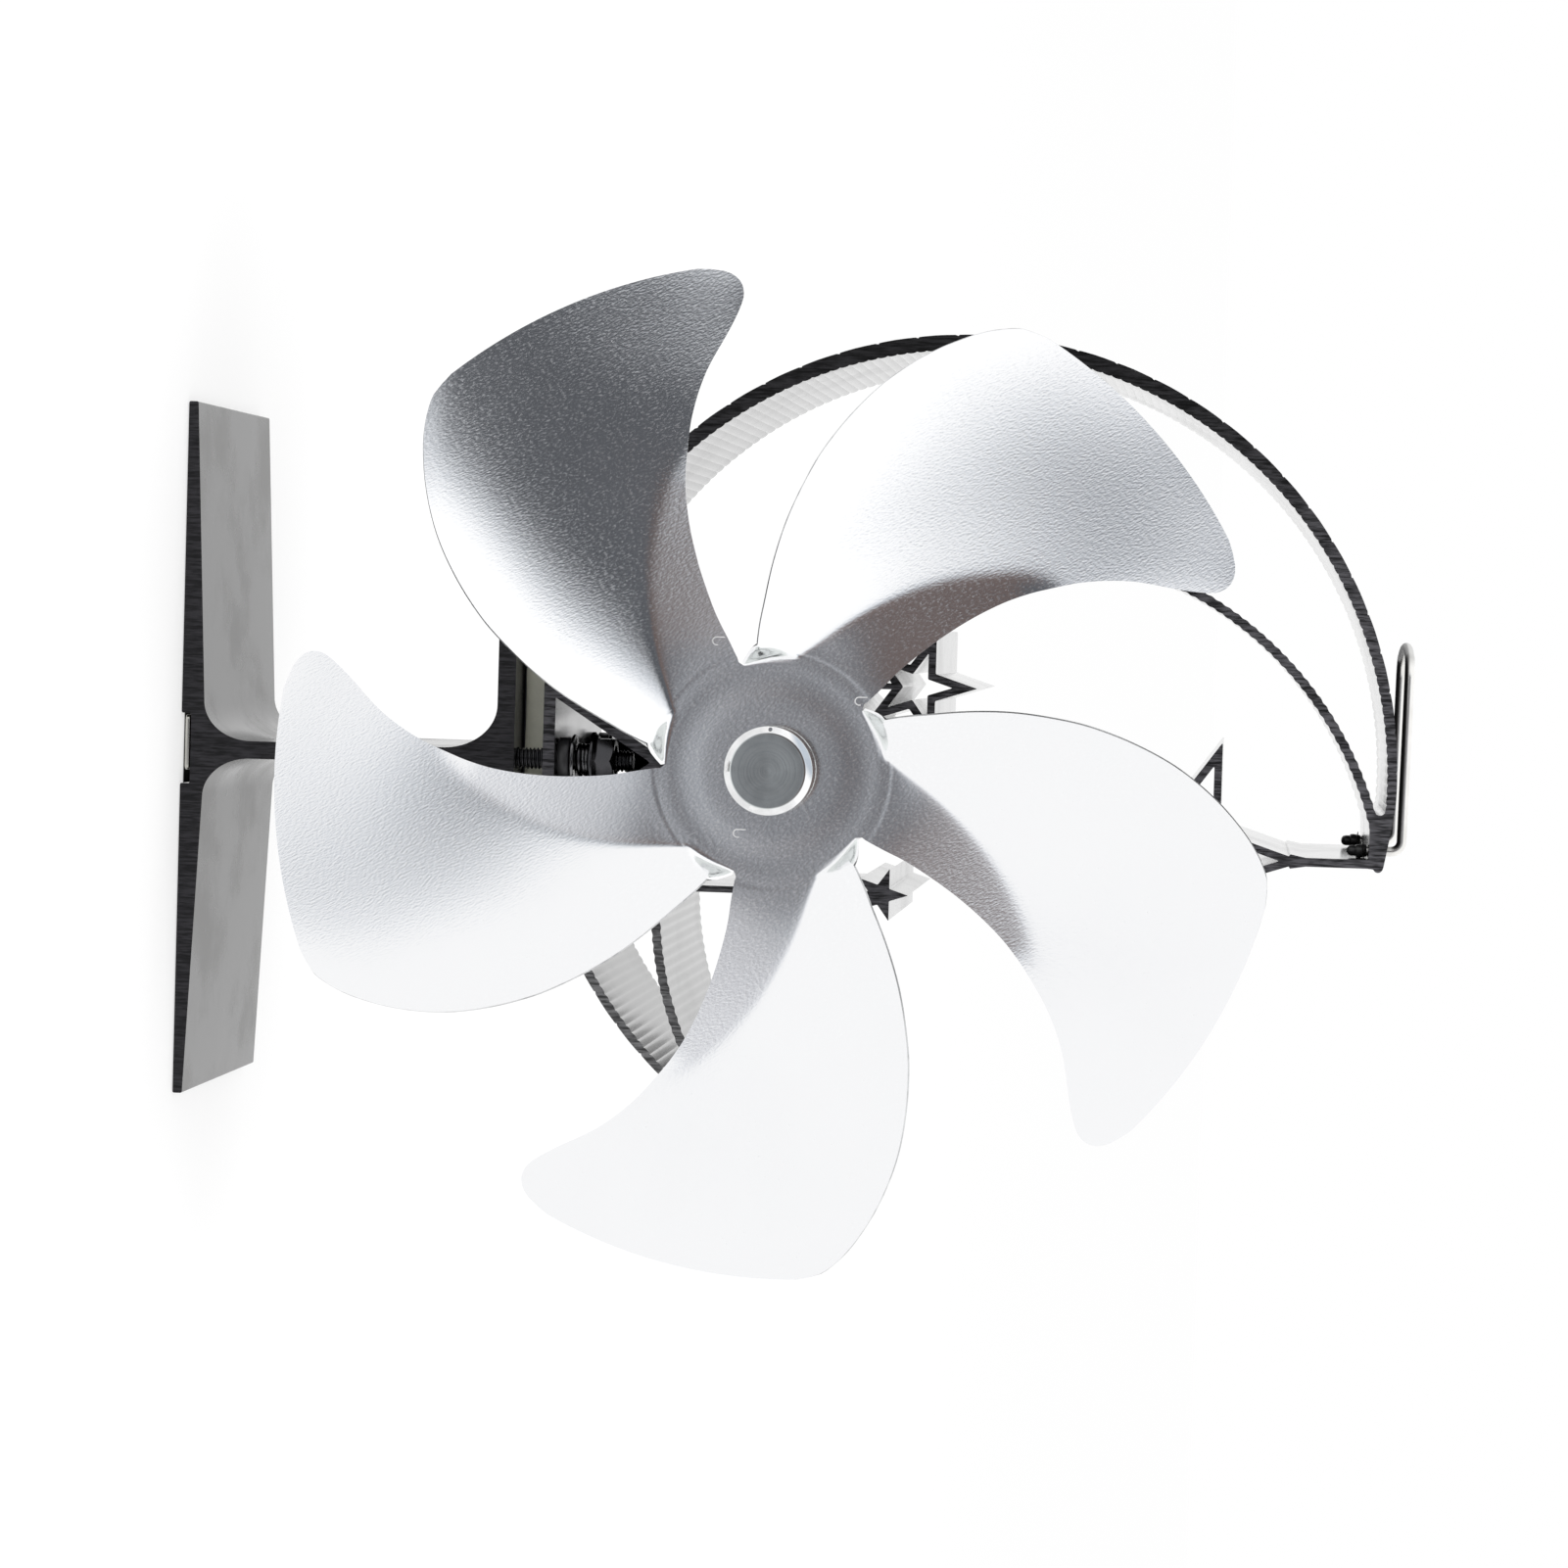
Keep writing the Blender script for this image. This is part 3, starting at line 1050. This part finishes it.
def makeBoss():
    bm = bmesh.new()
    top, face, radius, seat = boss["height"], boss["face"], boss["radius"], boss["seat"]
    spigot, end, bore = boss["spigot"], -boss["spigotLength"], boss["bore"]
    profile = [
        (0, top - 0.05), (0.5, top - 0.045), (2.5, top - 0.02), (5.0, top - 0.005), (face - 0.3, top),
        (face - 0.09, top - 0.002), (face, top - 0.02), (face + 0.03, top - 0.07),
        (radius - 0.06, top - boss["chamfer"]), (radius, top - boss["chamfer"] - 0.08), (radius, seat + 0.15),
        (radius - 0.15, seat), (spigot, seat), (spigot, end + 0.3), (spigot - 0.3, end), (bore, end),
        (bore, boss["boreDepth"]), (0, boss["boreDepth"]),
    ]
    spinProfile(bm, profile, 160, False)
    disc = Vector((0, discY, rotorHeight))
    moveTo(bm, disc, lookForward)
    made = makeObject(bm, "bossTurned")
    drills = [cylinder(disc + Vector(place), wide, length, 32, Matrix.Rotation(math.radians(90), 4, axis))
              for (place, wide, length), axis in ((boss["grub"], "Y"), (boss["mark"], "X"))]
    combine(made, drills)
    made.data.materials.append(finishes["turnedFace"])
    made.data.materials.append(finishes["cutChamfer"])
    for polygon in made.data.polygons:
        x, y, z = polygon.center / mm - disc
        if y < -top + boss["chamfer"] + 0.02 and math.hypot(x, z) > face:
            polygon.material_index = 1
    finishPiece(made, "turnedFace", "rotor", ["hub_boss"], "turned_aluminium", 25)
    turnedPiece("washerTurned", boss["washer"], 96, (0, discY + boss["washerBehind"], rotorHeight),
                "turnedFace", "rotor", ["hub_washer"], "turned_aluminium", turn=lookForward)


makeBoss()
print("boss made")


def tubePiece(name, points, radius, sides=16):
    # a round wire along a route, made from a curve and kept as a mesh
    curve = bpy.data.curves.new(name, "CURVE")
    curve.dimensions = "3D"
    curve.bevel_depth = radius * mm
    curve.bevel_resolution = sides // 4
    curve.use_fill_caps = True
    spline = curve.splines.new("POLY")
    spline.points.add(len(points) - 1)
    for point, place in zip(spline.points, points):
        point.co = (*(Vector(place) * mm), 1)
    route = newObject(name, curve)
    mesh = bpy.data.meshes.new_from_object(route.evaluated_get(bpy.context.evaluated_depsgraph_get()))
    bpy.data.objects.remove(route)
    bpy.data.curves.remove(curve)
    return newObject(name, mesh)


# Wire handle over the top, its black end caps and the clips under the block
handle = {
    "wire": 0.9, "legBottom": 215.4, "armHeight": 224.5, "bend": 1.9,
    "corner": 4.0, "bow": 90.0, "tip": -25.1, "rise": 0.5,
    "capBottom": 214.6, "capRadius": 0.97, "clipTop": 218.25, "barrel": 1.2, "washer": 1.75, "clipTilt": 7.0,
}


def makeHandle():
    up = handle["armHeight"]
    bend = (handleX - handle["bend"], up - handle["bend"])
    half = [(handleX, handleSpread, handle["legBottom"] + 3 * i) for i in range(3)]
    half += [(x, handleSpread, z) for x, z in arcPoints(bend, handle["bend"], 0, 90, 10)]
    cornerY = handleSpread - handle["corner"]
    bowX = handle["tip"] + handle["bow"]
    cornerX = bowX - math.sqrt((handle["bow"] - handle["corner"]) ** 2 - cornerY ** 2)
    turn = math.degrees(math.atan2(cornerY, cornerX - bowX))
    plan = arcPoints((cornerX, cornerY), handle["corner"], 90, turn, 14)
    plan += arcPoints((bowX, 0), handle["bow"], turn, 180, 12)[1:]
    half += [(x, y, up + handle["rise"] * (bend[0] - x) / (bend[0] - handle["tip"])) for x, y in plan]
    points = half + [(x, -y, z) for x, y, z in reversed(half[:-1])]
    made = tubePiece("handleRod", [(x, y + depthMiddle, z) for x, y, z in points], handle["wire"], 24)
    finishPiece(made, "polishedWire", "stand", ["handle_wire"], "polished_steel", 60)
    top, barrel, washer = handle["clipTop"], handle["barrel"], handle["washer"]
    grip = [(0.95, top), (barrel * 0.8, top), (barrel, top - 0.25), (barrel, top - 0.55), (washer, top - 0.6),
            (washer + 0.04, top - 0.72), (barrel, top - 0.85), (barrel * 1.02, top - 1.5),
            (barrel * 0.94, top - 1.95), (barrel * 0.8, top - 2.1), (0.95, top - 2.1)]
    cap, low = handle["capRadius"], handle["capBottom"]
    end = [(0, low), (cap * 0.5, low + 0.1), (cap * 0.86, low + 0.4), (cap, low + 0.9), (cap, low + 1.5),
           (cap * 0.97, low + 1.9), (0.88, low + 1.9)]
    for name, side in bothSides:
        # the clips are pushed on a little askew
        middle = Matrix.Translation((0, 0, (top - 1) * mm))
        tilt = middle @ Matrix.Rotation(math.radians(handle["clipTilt"] * side), 4, "Y") @ middle.inverted()
        place = (handleX, depthMiddle + side * handleSpread, 0)
        turnedPiece("handleGrip." + name, grip, 40, place, "blackRubber", "stand", ["handle_clip_" + name],
                    "dark_steel", 50, turn=tilt)
        turnedPiece("handleCap." + name, end, 32, place, "blackRubber", "stand", (), "dark_steel", 60,
                    closed=False)


makeHandle()
print("handle made")


# Clamps: each a threaded stud with a bush, a washer, a spring and a flange nut
clamp = {
    "minor": 1.62, "major": 2.0, "pitch": 0.7, "studBottom": 54.8, "studTop": 83.8, "studPoint": 1.45,
    "bush": 4.0, "bushBottom": 70.1, "bushHeight": 2.1, "spigot": 2.9, "spigotLength": 1.9,
    "washer": 4.65, "washerBottom": 72.5, "washerHeight": 0.6,
    "springBottom": 73.4, "springHeight": 2.4, "springTurns": 2.1, "springRadius": 2.65, "springWire": 0.42,
    "nutBottom": 76.1, "nutHeight": 4.4, "flange": 5.2, "flangeHeight": 1.2, "acrossFlats": 8.0,
}


def makeStud(name, place):
    # one turn's profile wound up the stud, then trimmed at both ends
    bm = bmesh.new()
    pitch, minor, major = clamp["pitch"], clamp["minor"], clamp["major"]
    low, high = clamp["studBottom"], clamp["studTop"]
    turns = math.ceil((high - low) / pitch) + 2
    steps = 20
    profile = ((minor, 2), (major, 1.62), (major, 1.46), (minor, 1.08), (minor, 1))
    verts, edges = chain(bm, [(radius, 0, low - below * pitch) for radius, below in profile])
    bmesh.ops.spin(bm, geom=verts + edges, cent=(0, 0, 0), axis=(0, 0, 1), dvec=(0, 0, pitch * mm / steps),
                   angle=math.tau * turns, steps=steps * turns)
    bmesh.ops.remove_doubles(bm, verts=bm.verts, dist=0.00001)
    for height, side in ((low, 1), (high, -1)):
        bmesh.ops.bisect_plane(bm, geom=bm.verts[:] + bm.edges[:] + bm.faces[:], dist=0.000001,
                               plane_co=(0, 0, height * mm), plane_no=(0, 0, side), clear_inner=True)
        rim = [edge for edge in bm.edges
               if edge.is_boundary and all(abs(vert.co.z / mm - height) < 0.01 for vert in edge.verts)]
        bmesh.ops.contextual_create(bm, geom=rim)
    for vert in bm.verts:
        radius = vert.co.xy.length / mm
        allowed = clamp["studPoint"] + min(high - vert.co.z / mm, vert.co.z / mm - low)
        if radius > allowed:
            vert.co.xy *= allowed / radius
    moveTo(bm, place)
    made = makeObject(bm, "threadedStud." + name)
    finishPiece(made, "blackSteel", "stand", ["clamp_stud_" + name], "dark_steel", 28)


def turnedBlank(points, steps):
    bm = bmesh.new()
    spinProfile(bm, points, steps, True)
    return makeObject(bm, "turnedBlank")


def makeNut(name, place):
    low, wide = clamp["nutBottom"], clamp["flange"]
    top, bottom = low + clamp["nutHeight"], low + clamp["flangeHeight"] * 0.6
    corner = clamp["acrossFlats"] / math.sqrt(3)
    hexagon = cylinder((0, 0, (top + bottom) / 2), corner, top - bottom, 6)
    turned = turnedBlank([(2.1, bottom - 1), (corner + 0.2, bottom - 1), (corner + 0.2, top - 0.75),
                          (corner - 0.85, top + 0.02), (2.9, top + 0.02), (2.1, top - 0.7)], 72)
    combine(hexagon, [turned], "INTERSECT")
    flange = turnedBlank([(2.4, low), (wide - 0.15, low), (wide, low + 0.2), (wide, low + 0.55),
                          (wide - 0.2, low + 0.7), (corner - 0.2, low + 1.25), (2.1, low + 1.25),
                          (2.1, low + 0.4)], 72)
    made = unite("flangeNut." + name, [hexagon, flange])
    made.data.transform(Matrix.Translation(Vector(place) * mm))
    finishPiece(made, "blackSteel", "stand", ["clamp_nut_" + name], "dark_steel", 28)


def makeSpring(name, place):
    # the end turns lie nearly flat and the middle ones rise
    wire, radius = clamp["springWire"], clamp["springRadius"]
    low, high = clamp["springBottom"] + wire, clamp["springBottom"] + clamp["springHeight"] - wire
    count = 120
    points = []
    for i in range(count + 1):
        angle = math.tau * (clamp["springTurns"] + 1) * i / count
        rise = (high - low) * smoothStep(0.12, 0.88, i / count)
        points.append((place[0] + radius * math.cos(angle), place[1] + radius * math.sin(angle), low + rise))
    made = tubePiece("coilSpring." + name, points, wire, 12)
    finishPiece(made, "springSteel", "stand", ["clamp_spring_" + name], "dark_steel", 60)


def makeClamps():
    low, wide, neck = clamp["bushBottom"], clamp["bush"], clamp["spigot"]
    top, tip = low + clamp["bushHeight"], low - clamp["spigotLength"]
    bush = [(2.15, tip), (neck - 0.15, tip), (neck, tip + 0.2), (neck, low), (wide - 0.12, low),
            (wide, low + 0.12), (wide, top - 0.3), (wide - 0.1, top - 0.08), (wide - 0.3, top), (2.15, top)]
    low, wide = clamp["washerBottom"], clamp["washer"]
    top = low + clamp["washerHeight"]
    washer = [(2.2, low + 0.06), (2.3, low), (wide - 0.2, low), (wide, low + 0.15), (wide, top - 0.1),
              (wide - 0.1, top), (2.3, top), (2.2, top - 0.06)]
    for name, side in bothSides:
        place = (0, depthMiddle + side * clampSpread, 0)
        makeStud(name, place)
        makeNut(name, place)
        turnedPiece("shoulderBush." + name, bush, 64, place, "bushPlastic", "stand", ["clamp_bush_" + name],
                    "insulator", 45)
        turnedPiece("plainWasher." + name, washer, 64, place, "washerSteel", "stand",
                    ["clamp_washer_" + name], "bright_steel", 45)
        makeSpring(name, place)


makeClamps()
print("clamps made")


# Seal: a soft bead of sealant all round the module
seal = {
    "half": 20.0, "corner": 1.2, "steps": 26, "wave": 0.09,
    # each point's way out from the module's side, and its height
    "profile": ((0.02, 63.92), (0.02, 62.75), (0.3, 62.8), (0.52, 63.2), (0.62, 64.0), (0.62, 65.2),
                (0.54, 66.2), (0.44, 67.1), (0.3, 67.5), (0.02, 67.52), (0.02, 65.98), (-1.48, 65.98),
                (-1.48, 63.92)),
}


def makeSeal():
    bm = bmesh.new()
    loops = []
    for place, (out, height) in enumerate(seal["profile"]):
        straight, radius = seal["half"] - seal["corner"], max(0.05, seal["corner"] + out)
        if out < 0:
            straight, radius = seal["half"] + out - 0.05, 0.05
        wave = seal["wave"] if out > 0.1 else 0
        points = []
        for quarter in range(4):
            side = arcPoints((straight, straight), radius, 0, 90, 5)
            for i in range(1, seal["steps"]):
                share = i / seal["steps"]
                swell = wave * math.sin(share * 23 + quarter * 1.7 + place * 0.35) * math.sin(math.pi * share)
                side.append((straight - 2 * straight * share, straight + radius + swell))
            turn = Matrix.Rotation(math.radians(90 * quarter), 2)
            points += [turn @ Vector(point) for point in side]
        lift = 0.06 * math.sin(place) if 0.1 < out < 0.4 else 0
        line = [(x, y, height + lift * math.sin(k * 0.7)) for k, (x, y) in enumerate(points)]
        loops.append(chain(bm, line, closed=True)[1])
    for first, second in zip(loops, loops[1:] + loops[:1]):
        bmesh.ops.bridge_loops(bm, edges=first + second)
    moveTo(bm, (0, depthMiddle, 0))
    finishPiece(makeObject(bm, "sealBead"), "creamSealant", "stand", ["generator_seal"], "sealant", 60)


makeSeal()
print("seal made")


# Small U marks that the press left on the disc
pressMarks = {
    "places": ((19.8, 129.9), (12.9, -27.1), (25.0, 205.0)),     # radius and angle
    "width": 0.7, "wire": 0.10, "before": 0.03,
}


def makePressMarks():
    pieces = []
    wide = pressMarks["width"]
    front = discY - fan["sheet"] / 2 - pressMarks["before"]
    for index, (radius, degrees) in enumerate(pressMarks["places"]):
        x, _, z = polar((0, rotorHeight), radius, degrees)
        line = [(x - wide, z + 1.5), (x - wide, z + 0.4), *arcPoints((x, z), wide, 180, 360, 10),
                (x + wide, z + 0.3)]
        points = [(across, front, height) for across, height in line]
        pieces.append(tubePiece("pressMark%d" % index, points, pressMarks["wire"], 8))
    finishPiece(unite("pressMarks", pieces), "pressedLine", "rotor", (), "pressed_aluminium", 60)


makePressMarks()
print("press marks made")


print("sizes written")
